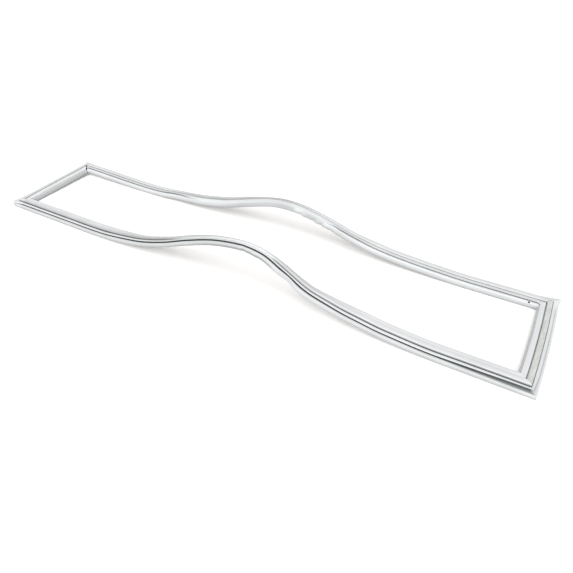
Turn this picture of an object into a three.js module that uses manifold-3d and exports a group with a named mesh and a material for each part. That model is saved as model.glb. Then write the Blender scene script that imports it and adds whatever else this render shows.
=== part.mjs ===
// Magnetic door gasket for a long, low refrigerator door or drawer.
// A soft extruded strip is mitred at four corners and welded into one frame. A long strip of
// bonded magnet lies in the pocket along each side. The frame lies on a flat surface with its
// magnet face up, and both long sides are kinked up into a hump, as a folded gasket keeps.
// Millimetres. +X runs along the frame, +Y across it, +Z up from the surface it lies on.

import * as THREE from 'three';
import { mergeVertices } from 'three/addons/utils/BufferGeometryUtils.js';
import Module from 'manifold-3d';

// Frame, outside sizes
const FRAME_LENGTH = 1038;
const FRAME_WIDTH = 205;
const SIDE_BOW = 2;
const CORNER_RUN = 2;

// Section, widths from the outer edge inwards
const OUTER_BULB_REACH = 4.3;
const OUTER_LIP_WIDTH = 3.9;
const OUTER_CREVICE_WIDTH = 1.4;
const INNER_CREVICE_WIDTH = 1.5;
const INNER_LIP_WIDTH = 7.3;
const INNER_BULB_REACH = 2.2;

// Section, heights above the base
const OUTER_BULB_HEIGHT = 7.5;
const OUTER_GROOVE_HEIGHT = 2.0;
const OUTER_GROOVE_DEPTH = 3.0;
const OUTER_LIP_THICKNESS = 1.6;
const OUTER_CREVICE_DEPTH = 1.2;
const INNER_BULB_HEIGHT = 10;
const INNER_GROOVE_HEIGHT = 1.3;
const INNER_GROOVE_DEPTH = 5.5;
const INNER_LIP_THICKNESS = 1.4;
const INNER_CREVICE_DEPTH = 2.4;
const LIP_ROUNDING = 0.5;
const FOOT_ROUNDING = 2.6;
const INNER_SHOULDER = 4.5;
const WALL = 1.2;

// Magnet and the pocket that holds it
const MAGNET_WIDTH = 5.4;
const MAGNET_THICKNESS = 3.0;
const MAGNET_CLEARANCE = 0.3;
const MAGNET_END_GAP = 4;
const POCKET_SIDE_WALL = 0.7;
const POCKET_SKIN = 0.9;
const POCKET_OUTER_SLOPE = 1.3;
const POCKET_INNER_SLOPE = 0.8;

// Holes
const VENT_DIAMETER = 3.0;
const VENT_FROM_RIGHT_END = 42;
const VENT_TILT = 65;
const WELD_GAP_DIAMETER = 2.0;

// Lie of the long sides: each hump is points of distance from its crest and height, and its
// crest is placed from the middle of the frame
const NEAR_CREST_PAST_MIDDLE = 74;
const FAR_CREST_PAST_MIDDLE = 49;
const NEAR_HUMP = [
  [-380, 0], [-290, 3.2], [-226, 11.5], [-165, 28.8], [-107, 50.3], [-54, 65.8], [-7, 72.2], [16, 71.3],
  [37, 66.2], [58, 56.1], [79, 44], [100, 32.2], [120, 24.4], [160, 16], [199, 10.6], [237, 5], [315, 0],
];
const FAR_HUMP = [
  [-345, 0], [-270, 4], [-198, 11.2], [-136, 22.8], [-77, 38.2], [-22, 49], [3, 50.2], [29, 48.2],
  [53, 43.4], [78, 37], [102, 29.6], [125, 22.4], [172, 13.1], [216, 7.1], [270, 3], [340, 0],
];
const CORNER_LIFT = 7;
const CORNER_LIFT_RUN = 222;

// A raised side also rolls, with its top leaning towards the far side. The points are distance
// from the crest and degrees of roll
const NEAR_ROLL = [
  [-330, 0], [-258, 9], [-165, 12], [-107, 15], [-54, 23], [-7, 30], [37, 34], [58, 28], [100, 22],
  [140, 15], [180, 4], [220, 0],
];
const FAR_ROLL = [
  [-310, 0], [-270, 6], [-200, -4], [-130, -6], [-77, 2], [-40, 13], [40, 14], [75, 12], [125, 9],
  [180, 0],
];

// Over the far hump the inner lip is drawn down over its bulb. The points are distance from the
// crest and share of the drape
const FAR_DRAPE = [[-260, 0], [-190, 1], [60, 1], [120, 0]];
const INNER_LIP_DRAPE = 1.6;
const LIP_REST_GAP = 0.4;

// Fineness of the faceted surfaces
const CURVE_STEPS = 3;
const CHAMBER_STEPS = 2;
const HUMP_STEPS = 2;
const LIFT_STEPS = 4;
const SHORT_SIDE_STEPS = 6;
const HOLE_SIDES = 16;

// Section stations, measured inwards from the outer edge and up from the base
const outerLipTip = OUTER_BULB_REACH;
const outerLipRoot = outerLipTip + OUTER_LIP_WIDTH;
const pocketOuter = outerLipRoot + OUTER_CREVICE_WIDTH;
const cavityOuter = pocketOuter + POCKET_SIDE_WALL;
const cavityInner = cavityOuter + MAGNET_WIDTH + 2 * MAGNET_CLEARANCE;
const pocketInner = cavityInner + POCKET_SIDE_WALL;
const innerLipRoot = pocketInner + INNER_CREVICE_WIDTH;
const innerLipTip = innerLipRoot + INNER_LIP_WIDTH;
const sectionWidth = innerLipTip + INNER_BULB_REACH;

const outerLipBottom = OUTER_BULB_HEIGHT + OUTER_GROOVE_HEIGHT;
const outerLipTop = outerLipBottom + OUTER_LIP_THICKNESS;
const innerLipBottom = INNER_BULB_HEIGHT + INNER_GROOVE_HEIGHT;
const innerLipTop = innerLipBottom + INNER_LIP_THICKNESS;
const chamberRoof = INNER_BULB_HEIGHT - WALL;
const cavityFloor = INNER_BULB_HEIGHT;
const cavityRoof = cavityFloor + MAGNET_THICKNESS + 2 * MAGNET_CLEARANCE;
const pocketTop = cavityRoof + POCKET_SKIN;

// The outside of the section: two bulbs, two lips over grooves, and the raised magnet pocket
function outsideOutline(drape) {
  const outline = new THREE.Shape();
  const outerMid = OUTER_BULB_HEIGHT / 2;
  const innerMid = INNER_BULB_HEIGHT / 2;
  const outerGrooveEnd = outerLipTip + OUTER_GROOVE_DEPTH;
  const innerGrooveEnd = innerLipTip - INNER_GROOVE_DEPTH;
  const innerTip = innerLipTip + INNER_LIP_DRAPE * drape;
  const innerTipDrop = (INNER_GROOVE_HEIGHT - LIP_REST_GAP) * drape;
  outline.moveTo(FOOT_ROUNDING, 0);
  outline.quadraticCurveTo(0, 0, 0, outerMid);
  outline.quadraticCurveTo(0, OUTER_BULB_HEIGHT, FOOT_ROUNDING, OUTER_BULB_HEIGHT);
  outline.lineTo(outerGrooveEnd, OUTER_BULB_HEIGHT);
  outline.lineTo(outerGrooveEnd, outerLipBottom);
  outline.lineTo(outerLipTip + LIP_ROUNDING, outerLipBottom);
  outline.lineTo(outerLipTip, outerLipBottom + LIP_ROUNDING);
  outline.lineTo(outerLipTip, outerLipTop - LIP_ROUNDING);
  outline.lineTo(outerLipTip + LIP_ROUNDING, outerLipTop);
  outline.lineTo(outerLipRoot, outerLipTop);
  outline.lineTo(outerLipRoot, outerLipTop - OUTER_CREVICE_DEPTH);
  outline.lineTo(pocketOuter, outerLipTop - OUTER_CREVICE_DEPTH);
  outline.lineTo(pocketOuter, pocketTop - POCKET_OUTER_SLOPE);
  outline.lineTo(pocketOuter + POCKET_OUTER_SLOPE, pocketTop);
  outline.lineTo(pocketInner - POCKET_INNER_SLOPE, pocketTop);
  outline.lineTo(pocketInner, pocketTop - POCKET_INNER_SLOPE);
  outline.lineTo(pocketInner, innerLipTop - INNER_CREVICE_DEPTH);
  outline.lineTo(innerLipRoot, innerLipTop - INNER_CREVICE_DEPTH);
  outline.lineTo(innerLipRoot, innerLipTop);
  outline.lineTo(innerTip - LIP_ROUNDING, innerLipTop - innerTipDrop);
  outline.lineTo(innerTip, innerLipTop - LIP_ROUNDING - innerTipDrop);
  outline.lineTo(innerTip - LIP_ROUNDING, innerLipBottom - innerTipDrop);
  outline.lineTo(innerGrooveEnd, innerLipBottom);
  outline.lineTo(innerGrooveEnd, INNER_BULB_HEIGHT);
  outline.lineTo(sectionWidth - INNER_SHOULDER, INNER_BULB_HEIGHT);
  outline.quadraticCurveTo(sectionWidth, INNER_BULB_HEIGHT, sectionWidth, innerMid);
  outline.quadraticCurveTo(sectionWidth, 0, sectionWidth - FOOT_ROUNDING, 0);
  return outline.getPoints(CURVE_STEPS);
}

// The hollow bellows chamber inside both bulbs
function chamberOutline() {
  const outline = new THREE.Shape();
  const outerMid = OUTER_BULB_HEIGHT / 2;
  const innerMid = INNER_BULB_HEIGHT / 2;
  const outerRoof = OUTER_BULB_HEIGHT - WALL;
  const right = sectionWidth - WALL;
  outline.moveTo(FOOT_ROUNDING, WALL);
  outline.quadraticCurveTo(WALL, WALL, WALL, outerMid);
  outline.quadraticCurveTo(WALL, outerRoof, FOOT_ROUNDING, outerRoof);
  outline.lineTo(outerLipRoot, outerRoof);
  outline.lineTo(cavityOuter, chamberRoof);
  outline.lineTo(sectionWidth - INNER_SHOULDER, chamberRoof);
  outline.quadraticCurveTo(right, chamberRoof, right, innerMid);
  outline.quadraticCurveTo(right, WALL, sectionWidth - FOOT_ROUNDING, WALL);
  return outline.getPoints(CHAMBER_STEPS);
}

// A plain box section, for the magnet's cavity and the magnet itself
function boxOutline(outer, inner, bottom, top) {
  return [
    new THREE.Vector2(outer, bottom),
    new THREE.Vector2(outer, top),
    new THREE.Vector2(inner, top),
    new THREE.Vector2(inner, bottom),
  ];
}

// Height and slope of a smooth line through points of place and height, level at both ends
function smoothThrough(points, place) {
  const last = points.length - 1;
  if (place <= points[0][0]) return { height: points[0][1], slope: 0 };
  if (place >= points[last][0]) return { height: points[last][1], slope: 0 };
  const next = points.findIndex((point) => point[0] > place);
  const tangent = (i) => (i === 0 || i === last)
    ? 0
    : (points[i + 1][1] - points[i - 1][1]) / (points[i + 1][0] - points[i - 1][0]);
  const [x0, y0] = points[next - 1];
  const [x1, y1] = points[next];
  const span = x1 - x0;
  const t = (place - x0) / span;
  const m0 = tangent(next - 1) * span;
  const m1 = tangent(next) * span;
  const height = (2 * t ** 3 - 3 * t ** 2 + 1) * y0 + (t ** 3 - 2 * t ** 2 + t) * m0
    + (3 * t ** 2 - 2 * t ** 3) * y1 + (t ** 3 - t ** 2) * m1;
  const rate = (6 * t ** 2 - 6 * t) * (y0 - y1) + (3 * t ** 2 - 4 * t + 1) * m0 + (3 * t ** 2 - 2 * t) * m1;
  return { height, slope: rate / span };
}

const nearCrest = FRAME_LENGTH / 2 + NEAR_CREST_PAST_MIDDLE;
const farCrest = FRAME_LENGTH / 2 + FAR_CREST_PAST_MIDDLE;

function nearLie(x) {
  const roll = smoothThrough(NEAR_ROLL, x - nearCrest).height;
  return { ...smoothThrough(NEAR_HUMP, x - nearCrest), roll, drape: 0 };
}

function farLie(x) {
  const hump = smoothThrough(FAR_HUMP, x - farCrest);
  const corner = smoothThrough([[0, CORNER_LIFT], [CORNER_LIFT_RUN, 0]], x);
  const roll = smoothThrough(FAR_ROLL, x - farCrest).height;
  const drape = smoothThrough(FAR_DRAPE, x - farCrest).height;
  return { height: hump.height + corner.height, slope: hump.slope + corner.slope, roll, drape };
}

// A station is one cut through the frame. plan gives the place in plan of a point that lies
// a given distance in from the outer edge, lie gives the height and slope of the base there.
const cornerX = FRAME_LENGTH - SIDE_BOW;
const farY = FRAME_WIDTH;
const endReach = sectionWidth + CORNER_RUN;
const magnetReach = endReach + MAGNET_END_GAP;

function level(height) {
  return { height, slope: 0, roll: 0, drape: 0 };
}

function bowAt(y) {
  const share = y / FRAME_WIDTH;
  return 4 * SIDE_BOW * share * (1 - share);
}

function placesBetween(from, to, steps) {
  return Array.from({ length: steps + 1 }, (_, i) => from + (to - from) * (i / steps));
}

function humpPlaces(hump, crest) {
  const places = [];
  for (let i = 1; i < hump.length; i += 1) {
    places.push(...placesBetween(crest + hump[i - 1][0], crest + hump[i][0], HUMP_STEPS).slice(0, -1));
  }
  places.push(crest + hump[hump.length - 1][0]);
  return places;
}

function longSidePlaces(hump, crest, extra) {
  const start = magnetReach;
  const end = cornerX - magnetReach;
  const inside = [...humpPlaces(hump, crest), ...extra].filter((x) => x > start + 1 && x < end - 1);
  const all = [endReach, start, ...inside.sort((a, b) => a - b), end, cornerX - endReach];
  return all.filter((x, i) => i === 0 || x - all[i - 1] > 1);
}

const nearStations = longSidePlaces(NEAR_HUMP, nearCrest, [])
  .map((x) => ({ at: x, plan: (v) => [x, v], lie: nearLie(x) }));
const farStations = longSidePlaces(FAR_HUMP, farCrest, placesBetween(0, CORNER_LIFT_RUN, LIFT_STEPS))
  .map((x) => ({ at: x, plan: (v) => [x, farY - v], lie: farLie(x) }));
const shortPlaces = [endReach, ...placesBetween(magnetReach, farY - magnetReach, SHORT_SIDE_STEPS), farY - endReach];
const rightStations = shortPlaces
  .map((y) => ({ at: y, plan: (v) => [cornerX - v + bowAt(y), y], lie: level(0) }));
const leftStations = shortPlaces
  .map((y) => ({ at: y, plan: (v) => [v, y], lie: level(CORNER_LIFT * (y / farY)) }));

const corners = {
  nearLeft: { plan: (v) => [v, v], lie: level(0) },
  nearRight: { plan: (v) => [cornerX - v + bowAt(v), v], lie: level(0) },
  farRight: { plan: (v) => [cornerX - v + bowAt(v), farY - v], lie: level(0) },
  farLeft: { plan: (v) => [v, farY - v], lie: level(CORNER_LIFT) },
};

const ring = [
  corners.nearLeft, ...nearStations,
  corners.nearRight, ...rightStations,
  corners.farRight, ...[...farStations].reverse(),
  corners.farLeft, ...[...leftStations].reverse(),
];

// A point of the section at a station: the section rolls about the middle of its base, and
// stands square to the slope of the base
function placePoint(station, point) {
  const [x, flatY] = station.plan(point.x);
  const [, midY] = station.plan(sectionWidth / 2);
  const { height, slope, roll } = station.lie;
  const angle = THREE.MathUtils.degToRad(roll);
  const across = (flatY - midY) * Math.cos(angle) + point.y * Math.sin(angle);
  const up = point.y * Math.cos(angle) - (flatY - midY) * Math.sin(angle);
  const reach = Math.hypot(1, slope);
  const y = midY + across;
  return new THREE.Vector3(x - up * (slope / reach), y, height + up / reach);
}

function closedMesh(rows, joinEnds) {
  const across = rows[0].length;
  const vertices = rows.flat().flatMap((point) => point.toArray());
  const triangles = [];
  const spans = joinEnds ? rows.length : rows.length - 1;
  for (let row = 0; row < spans; row += 1) {
    const nextRow = (row + 1) % rows.length;
    for (let i = 0; i < across; i += 1) {
      const next = (i + 1) % across;
      const a = row * across + i;
      const b = row * across + next;
      const c = nextRow * across + next;
      const d = nextRow * across + i;
      triangles.push(a, d, b, b, d, c);
    }
  }
  if (!joinEnds) {
    const start = (rows.length - 1) * across;
    for (let i = 1; i < across - 1; i += 1) {
      triangles.push(0, i, i + 1);
      triangles.push(start, start + i + 1, start + i);
    }
  }
  const geometry = new THREE.BufferGeometry();
  geometry.setAttribute('position', new THREE.Float32BufferAttribute(vertices, 3));
  geometry.setIndex(triangles);
  return geometry;
}

function sweep(outlineAt, stations, joinEnds) {
  const rows = stations
    .map((station) => outlineAt(station.lie.drape).map((point) => placePoint(station, point)));
  return closedMesh(rows, joinEnds);
}

// Joining and cutting of closed meshes
const wasm = await Module();
wasm.setup();

function solidOf(geometry) {
  const bare = geometry.clone();
  bare.deleteAttribute('normal');
  bare.deleteAttribute('uv');
  const merged = mergeVertices(bare, 1e-4);
  const mesh = new wasm.Mesh({
    numProp: 3,
    vertProperties: new Float32Array(merged.attributes.position.array),
    triVerts: new Uint32Array(merged.index.array),
  });
  const solid = new wasm.Manifold(mesh);
  return solid.volume() < 0 ? new wasm.Manifold(flipped(mesh)) : solid;
}

function flipped(mesh) {
  const triangles = mesh.triVerts.slice();
  for (let i = 0; i < triangles.length; i += 3) {
    [triangles[i + 1], triangles[i + 2]] = [triangles[i + 2], triangles[i + 1]];
  }
  return new wasm.Mesh({ numProp: 3, vertProperties: mesh.vertProperties, triVerts: triangles });
}

function geometryOf(solid) {
  const mesh = solid.getMesh();
  const geometry = new THREE.BufferGeometry();
  geometry.setAttribute('position', new THREE.BufferAttribute(mesh.vertProperties, 3));
  geometry.setIndex(new THREE.BufferAttribute(mesh.triVerts, 1));
  geometry.computeVertexNormals();
  return geometry;
}

// A round hole's cutter, standing on the point it is given and leaning over by a tilt
function holeCutter(diameter, length, centre, tiltFromUpright) {
  const cutter = new THREE.CylinderGeometry(diameter / 2, diameter / 2, length, HOLE_SIDES);
  cutter.rotateX(Math.PI / 2 + THREE.MathUtils.degToRad(tiltFromUpright));
  cutter.translate(centre.x, centre.y, centre.z);
  return solidOf(cutter);
}

// The vent hole leaves the chamber through the shoulder of the inner bulb of the far side
function ventCutter() {
  const x = cornerX + SIDE_BOW - VENT_FROM_RIGHT_END;
  const length = 4 * WALL;
  const shoulder = new THREE.QuadraticBezierCurve(
    new THREE.Vector2(sectionWidth - INNER_SHOULDER, INNER_BULB_HEIGHT),
    new THREE.Vector2(sectionWidth, INNER_BULB_HEIGHT),
    new THREE.Vector2(sectionWidth, INNER_BULB_HEIGHT / 2),
  ).getPoint(0.3);
  const centre = new THREE.Vector3(x, farY - shoulder.x, farLie(x).height + shoulder.y);
  return holeCutter(VENT_DIAMETER, length, centre, 90 - VENT_TILT);
}

// The open weld at the far left corner joins the magnet pocket to the chamber under it
function weldGapCutter() {
  const middle = (cavityOuter + cavityInner) / 2;
  const floor = cavityFloor - chamberRoof;
  const centre = new THREE.Vector3(middle, farY - middle, CORNER_LIFT + chamberRoof + floor / 2);
  return holeCutter(WELD_GAP_DIAMETER, 2 * floor, centre, 0);
}

function gasketProfile() {
  const cavity = boxOutline(cavityOuter, cavityInner, cavityFloor, cavityRoof);
  const body = solidOf(sweep(outsideOutline, ring, true));
  const cuts = [
    solidOf(sweep(chamberOutline, ring, true)),
    solidOf(sweep(() => cavity, ring, true)),
    ventCutter(),
    weldGapCutter(),
  ];
  return geometryOf(cuts.reduce((solid, cut) => solid.subtract(cut), body));
}

// A magnet strip lies in the pocket of one side, clear of the corners
function magnetStrip(stations, length) {
  const outline = boxOutline(
    cavityOuter + MAGNET_CLEARANCE,
    cavityInner - MAGNET_CLEARANCE,
    cavityFloor + MAGNET_CLEARANCE,
    cavityRoof - MAGNET_CLEARANCE,
  );
  const held = stations.filter((station) => station.at > magnetReach - 0.5
    && station.at < length - magnetReach + 0.5);
  return geometryOf(solidOf(sweep(() => outline, held, false)));
}

const vinyl = new THREE.MeshStandardMaterial({ color: 0xd9dbdc, roughness: 0.5, metalness: 0 });
const bondedFerrite = new THREE.MeshStandardMaterial({ color: 0x3b3431, roughness: 0.75, metalness: 0 });

function addPiece(parent, name, geometry, material) {
  const mesh = new THREE.Mesh(geometry, material.clone());
  mesh.name = name;
  parent.add(mesh);
}

const gasket = new THREE.Group();
const pieces = new THREE.Group();
pieces.position.set(-FRAME_LENGTH / 2, -FRAME_WIDTH / 2, 0);
gasket.add(pieces);

addPiece(pieces, 'gasket_profile', gasketProfile(), vinyl);
addPiece(pieces, 'magnet_strip_near', magnetStrip(nearStations, cornerX), bondedFerrite);
addPiece(pieces, 'magnet_strip_far', magnetStrip(farStations, cornerX), bondedFerrite);
addPiece(pieces, 'magnet_strip_left', magnetStrip(leftStations, farY), bondedFerrite);
addPiece(pieces, 'magnet_strip_right', magnetStrip(rightStations, farY), bondedFerrite);

export default gasket;
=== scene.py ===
"""Looks of a refrigerator door gasket: a pale, hollow vinyl extrusion welded into a long frame.

The skin is one strip that follows the real section round the frame, with its lips, grooves,
magnet pocket, weld beads, vent hole and the humps that a folded gasket keeps.
"""

import math

import bpy
from mathutils import Matrix, Vector, noise


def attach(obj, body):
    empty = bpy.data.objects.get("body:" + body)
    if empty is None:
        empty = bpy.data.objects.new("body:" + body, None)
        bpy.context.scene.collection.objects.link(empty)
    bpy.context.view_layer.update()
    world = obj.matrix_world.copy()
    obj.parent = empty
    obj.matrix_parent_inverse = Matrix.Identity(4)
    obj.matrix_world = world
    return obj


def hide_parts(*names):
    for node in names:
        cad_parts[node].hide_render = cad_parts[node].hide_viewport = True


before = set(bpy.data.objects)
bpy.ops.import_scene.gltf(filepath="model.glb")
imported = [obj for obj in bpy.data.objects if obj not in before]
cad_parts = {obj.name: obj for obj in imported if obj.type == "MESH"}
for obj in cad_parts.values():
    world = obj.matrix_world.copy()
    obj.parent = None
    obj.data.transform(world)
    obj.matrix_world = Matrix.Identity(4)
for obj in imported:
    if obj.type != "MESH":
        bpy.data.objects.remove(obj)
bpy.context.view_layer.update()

bl_info = {
    "name": "Door gasket",
    "version": (1, 0, 0),
    "blender": (4, 5, 0),
    "location": "View3D > Sidebar > Gasket",
    "description": "Builds the skin, magnets and studio of a welded magnetic door gasket",
    "category": "Object",
}

MM = 0.001
PHOTO_SIDE = 573

# The humps of the long sides, in millimetres: points of distance from the crest and height
NEAR_CREST_PAST_MIDDLE = 74.0
FAR_CREST_PAST_MIDDLE = 49.0
NEAR_HUMP = [
    (-380, 0), (-290, 3.2), (-226, 11.5), (-165, 28.8), (-107, 50.3), (-54, 65.8),
    (-7, 72.2), (16, 71.3), (37, 66.2), (58, 56.1), (79, 44), (100, 32.2), (120, 24.4),
    (160, 16), (199, 10.6), (237, 5), (315, 0),
]
FAR_HUMP = [
    (-345, 0), (-270, 4), (-198, 11.2), (-136, 22.8), (-77, 38.2), (-22, 49), (3, 50.2),
    (29, 48.2), (53, 43.4), (78, 37), (102, 29.6), (125, 22.4), (172, 13.1), (216, 7.1),
    (270, 3), (340, 0),
]

# Height of the far left corner above the floor, and the run over which the far side comes down
CORNER_LIFT = 7.0
CORNER_LIFT_RUN = 222.0

# Roll of a raised side, as distance from its crest and degrees
NEAR_ROLL = [
    (-330, 0), (-258, 9), (-165, 12), (-107, 15), (-54, 23), (-7, 30), (37, 34), (58, 28),
    (100, 22), (140, 15), (180, 4), (220, 0),
]
FAR_ROLL = [
    (-310, 0), (-270, 6), (-200, -4), (-130, -6), (-77, 2), (-40, 13), (40, 14), (75, 12),
    (125, 9), (180, 0),
]

# Drape of the inner lip over its bulb, by distance from the far crest; below nought it curls up
FAR_CURL = -0.6
FAR_DRAPE = [(-260, 0), (-190, 1 - FAR_CURL), (60, 1 - FAR_CURL), (120, 0)]
LEFT_DRAPE = 0.8

# How far a fully draped lip's tip reaches past its place and sinks, in millimetres
TIP_OUT = 1.5
TIP_DROP = 2.3

# Where the bend of the near hump shuts the outer crevice, by distance from the near crest
NEAR_SHUT = [(-175, 0), (-120, 1), (42, 1), (56, 0)]

# How a shut crevice changes: the share of its painted shade that goes, and how far its bottom
# comes up
SHUT_SHADE_LOSS = 0.9
SHUT_FILL = 2.0

# Where the outer lip lifts off its bulb beside the near right corner, by distance from the end
GROOVE_OPENING = [(0, 1), (60, 0.6), (150, 0)]

# How far the lip draws back and rises there, and the groove and the bulb give way
LIP_BACK = 1.7
LIP_RAISED = 0.7
GROOVE_SUNK = 1.5
BULB_BACK = 0.8

# Painted shade on the pocket's outer edge and on the bulb's underside, by place along the near
# side
NEAR_CAST = [(0, 1), (180, 0.9), (470, 1), (560, 0.8), (615, 0.2), (655, 0), (1040, 0)]
NEAR_UNDERSIDE = [
    (0, 0.5), (160, 0.45), (330, 0.34), (480, 0.42), (560, 0.58), (638, 0.58), (656, 0.2),
    (720, 0.25), (1040, 0.3),
]
# Painted shade under the bulbs where no other value is given, and under the far side's inner
# bulb
PLAIN_UNDERSIDE = 0.15
FAR_UNDERSIDE = 0.32

# Painted shade on the near side's outer bulb, by distance from the crest
NEAR_BULB_CAST = [(-120, 0.22), (-60, 0.27), (40, 0.27), (60, 0.2)]

# Painted shade on the edge of the outer lip, and on the bulb beside it, on the right side
RIGHT_RIM = 0.8

# Painted shade on the folded lower half of the far hump's inner face, by distance from the crest
FAR_FOLD = [
    (-190, 0), (-110, 0.24), (-40, 0.3), (14, 0.34), (26, 0.04), (42, 0.32), (70, 0.28),
    (84, 0.04), (104, 0.2), (150, 0.1), (220, 0),
]

# Strength of the painted shade in the crevices and on the faces of each side, and along the far
# side, and how far the magnet shows brown through its skin
SIDE_SHADE = {"near": 1.0, "right": 0.42, "far": 0.95, "left": 0.5}
FAR_SHADE = [(0, 0.95), (150, 0.9), (420, 0.6), (1040, 0.55)]
# The brown is the pocket's own tone; its change from side to side is painted light, kept low on
# the near side where a sheen lightens the pocket
SIDE_BROWN = {"near": 0.12, "right": 1.0, "far": 0.3, "left": 0.35}

# Painted shade on the far hump's lip and pocket where they are stretched over its crest, by
# distance from the crest
FAR_CAST = [(-330, 0), (-230, 0.8), (-60, 1), (5, 1), (60, 0.2), (150, 0)]
FAR_LIP_CAST = 0.22

# Stretch of the long sides that has its stations close together, for the buckles there
DENSE_START = 560.0
DENSE_END = 722.0
DENSE_STATIONS = 81

# Buckles: distance past the crest, half length, depth (inwards is positive) and slant
NEAR_BUCKLES = [
    (40, 6, 1.8, -0.5), (52, 7, -0.9, -0.4), (82, 17, 3.4, 0.0), (106, 9, -0.6, 0.0),
]
FAR_BUCKLES = [
    (-18, 7, 1.4, 1.2), (-6, 6, -1.3, 1.2), (8, 6, 1.5, 1.4), (20, 6, -1.1, 1.4),
    (35, 7, 1.2, 1.3), (50, 8, -0.8, 1.0), (72, 9, 1.5, 0.9), (86, 8, -0.9, 0.9),
]

# Reach of the buckles from the bulb's face inwards and outwards, and the height they begin at
BUCKLE_REACH = 13
BUCKLE_BACK = 6
BUCKLE_LOWEST = 12

# Stations along one long side and one short side, and the cuts that make them
LONG_STATIONS = 191
SHORT_STATIONS = 53
FIRST_CUTS = 99
SECOND_CUTS = 4

# Run between a mitre and the nearest station of a side, and half the width of a weld's bead
END_CLEAR = 2.0
BEAD_HALF = 0.9
BEAD_FROM_HEIGHT = 5

# Share of an edge of the section that the rounding of a corner may take
MOST_ROUNDING = 0.45

# Lip tips that stand out past the corners, and the run over which a lip goes back in line
NEAR_LEFT_TIP = 7.0
FAR_RIGHT_TIP = 6.0
FAR_LEFT_TIP = 3.5
TIP_RUN = 30.0

# The part of the section that is the outer lip's tip: from its edge to its root, low to high
TIP_EDGE = 4.0
TIP_ROOT = 7.0
TIP_LOW = 9.0
TIP_HIGH = 12.0
TIP_LENGTH = 2.7

# Soft waves: length along the side, length across the section and seed
LIP_WAVE = (42.0, 9, 3.1)
POCKET_WAVE = (9.0, 5, 7.7)
EDGE_WAVE = (60.0, 9, 5.3)
EDGE_WAVE_SHARE = 0.7

# Height at which the lips' waves begin, and the height over which they reach full depth
LIP_WAVE_FROM = 9.0
LIP_WAVE_RISE = 2.0

# Wrinkles over the magnet: their share on the other sides, and where the right side gathers them
PLAIN_CRINKLE = 0.3
RIGHT_CRINKLE = 0.4
GATHERED_CRINKLE = 1.6
GATHER_MIDDLE = 0.55
GATHER_HALF = 0.4

# The vent: its distance from the right end and from the outer edge, height, lean and bore
VENT_FROM_END = 42
VENT_INWARDS = 24.5
VENT_HEIGHT = 7.4
VENT_LEAN = math.radians(38)
VENT_BORE = 6.5
VENT_SIDES = 32

# Slots of the opened far left weld: distance inwards of the corner, length, depth and height
WELD_SLOTS = [(22.5, 10, 9, 17.5), (26.6, 5, 8, 13.5)]
WELD_SLOT_WIDTH = 2.8
WELD_SLOT_TURN = math.radians(-45)

# The plain tube before it is laid, and the distance within which two points are one, in metres
TUBE_RADIUS = 1
TUBE_LENGTH = 1
TOUCHING = 1e-6

# Angle above which an edge of the skin stays sharp, and the slot of the hollow's painted shade
# material
SMOOTH_ANGLE = math.radians(40)
HOLLOW_SLOT = 1

# Patterns of the materials, as repeats in a metre, and bumps as strength and depth in metres
VINYL_GRAIN = 1400.0
MAGNET_GRAIN = 2200.0
HOLLOW_GRAIN = 600.0
SLOW_MOTTLE = 28.0
STREAK_SCALE = (6.0, 900.0, 1.0)
WRINKLE_SCALE = (75.0, 260.0, 1.0)
WRINKLE_TURN = math.radians(24)
WRINKLE_DISTORTION = 1.2
GRAIN_BUMP = (0.12, 0.0002)
STREAK_BUMP = (0.25, 0.0002)
WRINKLE_BUMP = (0.9, 0.0016)
MAGNET_BUMP = (0.3, 0.0002)

# Ranges that a pattern is read over and given out in
PATTERN_READ = (0.35, 0.65)
TONE_GIVEN = (0.965, 1.02)
BROWN_GIVEN = (0.3, 1.6)
# Range of the painted shade
SHADE_READ = (0.1, 1.0)
SHADE_GIVEN = (0.0, 0.97)
GLOSS_READ = (0.3, 0.7)
GLOSS_SPREAD = (-0.05, 0.07)
SPECKLE_READ = (0.4, 0.7)
SPECKLE_GIVEN = (0.0, 1.0)
MAGNET_ROUGHNESS = (0.68, 0.82)

# Plain values of the shaders
VINYL_SPECULAR = 0.42
HOLLOW_ROUGHNESS = 0.9
HOLLOW_SPECULAR = 0.1
# Painted shade of the tube's hollow, as shares of the painted shade colour
HOLLOW_DARKEST = 0.05
HOLLOW_DARK = 0.12
MAGNET_SPECKLE = 1.5
FLOOR_ROUGHNESS = 0.9
PAPER_COLOUR = (1.0, 0.985, 0.965, 1.0)
WHITE = (1.0, 1.0, 1.0, 1.0)

# Places of the mix node's sockets
MIX_FACTOR = 0
MIX_FLOATS = (2, 3)
MIX_COLOURS = (6, 7)
MIXED_FLOAT = 0
MIXED_COLOUR = 2

# The studio, in metres, and the width of the camera's sensor in millimetres
LAMP_PLACE = (0, -1.2, 2.1)
CAMERA_PLACE = (0.45485, -0.57478, 0.49522)
SENSOR_WIDTH = 36.0
FLOOR_SIZE = 14
FLOOR_DROP = 0.2


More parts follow.
